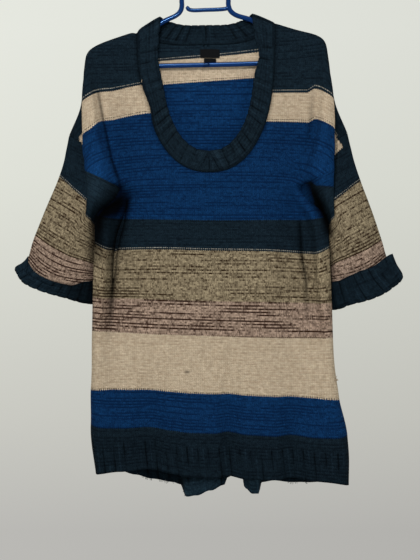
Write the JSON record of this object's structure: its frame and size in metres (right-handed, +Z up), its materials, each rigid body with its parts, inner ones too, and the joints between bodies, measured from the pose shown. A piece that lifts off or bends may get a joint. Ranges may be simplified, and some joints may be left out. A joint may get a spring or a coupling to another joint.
{
  "type": "sweater on a hanger",
  "caption": "Long striped knitted sweater with a deep round neck and turned-up three-quarter sleeves, hanging on a plastic tube hanger.",
  "frame": {"origin": "inner crown of the hanger's hook, where the rail holds it", "axes": "+Z up, the front of the sweater faces -Y, +X to the right as seen from the front"},
  "size_m": [0.7016, 0.0948, 0.9906],
  "materials": {
    "striped_knit": "knitted in wide navy, beige, blue, olive and pinkish stripes",
    "navy_rib": "ribbed knit, navy",
    "label_tape": "woven tape, black and bare",
    "hanger_plastic": "gloss blue"
  },
  "bodies": {
    "root": {"front_panel": "striped_knit", "back_panel": "striped_knit", "sleeve_left": "striped_knit", "sleeve_right": "striped_knit", "cuff_left": "navy_rib", "cuff_right": "navy_rib", "neckband": "navy_rib", "label": "label_tape", "size_tab": "label_tape", "hanger": "hanger_plastic"}
  },
  "joints": []
}
